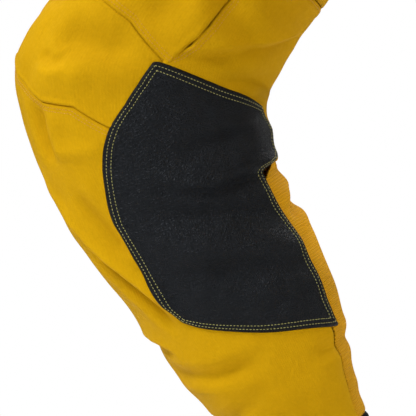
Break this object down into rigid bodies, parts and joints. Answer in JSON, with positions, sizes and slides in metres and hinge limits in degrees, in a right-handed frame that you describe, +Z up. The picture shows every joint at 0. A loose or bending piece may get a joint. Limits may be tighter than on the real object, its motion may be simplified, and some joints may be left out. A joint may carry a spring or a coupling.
{
  "type": "off-road riding pants",
  "caption": "Off-road riding pants worn in a long stride, with leather inner-knee panels, stretch calf panels, zip fly and waist tabs.",
  "frame": {"origin": "centre of the waist opening, level with the waistband's top edge", "axes": "+Z up through the waist opening, -X the wearer's front, +Y the wearer's right"},
  "size_m": [0.8244, 0.3856, 0.8229],
  "materials": {
    "shell": "coarse woven, mustard yellow",
    "stretch": "ribbed stretch knit",
    "leather": "pebbled, semi-gloss",
    "elastic": "ribbed elastic",
    "tape": "woven tape",
    "metal": "satin"
  },
  "bodies": {
    "hips": {"right_front_hip_panel": "shell", "right_seat_panel": "shell", "left_front_hip_panel": "shell", "left_seat_panel": "shell", "right_front_waistband": "shell", "left_front_waistband": "shell", "back_waistband": "elastic", "right_front_yoke": "shell", "left_front_yoke": "shell", "back_yoke": "stretch", "right_crotch_gusset": "stretch", "left_crotch_gusset": "stretch", "right_zip_tape": "tape", "left_zip_tape": "tape", "right_adjuster_patch": "tape", "left_adjuster_patch": "tape", "right_adjuster_anchor": "shell", "left_adjuster_anchor": "shell", "right_front_belt_loop": "shell", "left_front_belt_loop": "shell", "right_back_belt_loop": "shell", "left_back_belt_loop": "shell", "waist_tab_root": "shell", "snap_post": "metal"},
    "right_thigh": {"right_front_thigh_panel": "shell", "right_back_thigh_panel": "shell", "right_knee_panel": "shell", "right_back_knee_panel": "shell"},
    "right_shin": {"right_inner_knee_leather": "leather", "right_shin_panel": "shell", "right_calf_stretch_panel": "stretch", "right_cuff": "elastic"},
    "left_thigh": {"left_front_thigh_panel": "shell", "left_back_thigh_panel": "shell", "left_knee_panel": "shell", "left_back_knee_panel": "shell"},
    "left_shin": {"left_inner_knee_leather": "leather", "left_shin_panel": "shell", "left_calf_stretch_panel": "stretch", "left_cuff": "elastic"},
    "slider": {"zip_slider": "metal"},
    "pull": {"zip_pull": "metal"},
    "tab": {"waist_tab": "shell", "snap_cap": "metal"},
    "right_adjuster": {"right_adjuster_tab": "elastic"},
    "left_adjuster": {"left_adjuster_tab": "elastic"}
  },
  "joints": [
    {"name": "right_hip", "type": "hinge", "parent": "hips", "child": "right_thigh", "pos_m": [0, 0.1, -0.12], "axis": [0, 1, 0], "range_deg": [-55, 42], "deforming": ["right_front_hip_panel", "right_seat_panel", "right_crotch_gusset"]},
    {"name": "left_hip", "type": "hinge", "parent": "hips", "child": "left_thigh", "pos_m": [0, -0.1, -0.12], "axis": [0, 1, 0], "range_deg": [-3, 100], "deforming": ["left_front_hip_panel", "left_seat_panel", "left_crotch_gusset"]},
    {"name": "right_knee", "type": "hinge", "parent": "right_thigh", "child": "right_shin", "pos_m": [-0.26473, 0.1, -0.45884], "axis": [0, -1, 0], "range_deg": [-60, 36], "deforming": ["right_knee_panel", "right_back_knee_panel", "right_inner_knee_leather", "right_shin_panel"]},
    {"name": "left_knee", "type": "hinge", "parent": "left_thigh", "child": "left_shin", "pos_m": [0.16108, -0.1, -0.51869], "axis": [0, -1, 0], "range_deg": [-18, 78], "deforming": ["left_knee_panel", "left_back_knee_panel", "left_inner_knee_leather", "left_shin_panel"]},
    {"name": "zip_slide", "type": "slide", "parent": "hips", "child": "slider", "axis": [-0.0658, 0, -0.9978], "range_m": [0, 0.08]},
    {"name": "pull_pivot", "type": "hinge", "parent": "slider", "child": "pull", "pos_m": [-0.12498, 0, -0.05728], "axis": [0, 1, 0], "range_deg": [0, 150]},
    {"name": "waist_tab_hinge", "type": "hinge", "parent": "hips", "child": "tab", "pos_m": [-0.12511, 0.03894, -0.0225], "axis": [-0.064, 0.0249, -0.9976], "range_deg": [0, 120]},
    {"name": "right_adjuster_hinge", "type": "hinge", "parent": "hips", "child": "right_adjuster", "pos_m": [0.03569, 0.158, -0.0225], "axis": [0.0287, 0.0978, -0.9948], "range_deg": [0, 100]},
    {"name": "left_adjuster_hinge", "type": "hinge", "parent": "hips", "child": "left_adjuster", "pos_m": [0.03569, -0.158, -0.0225], "axis": [-0.0287, 0.0978, 0.9948], "range_deg": [0, 100]}
  ]
}
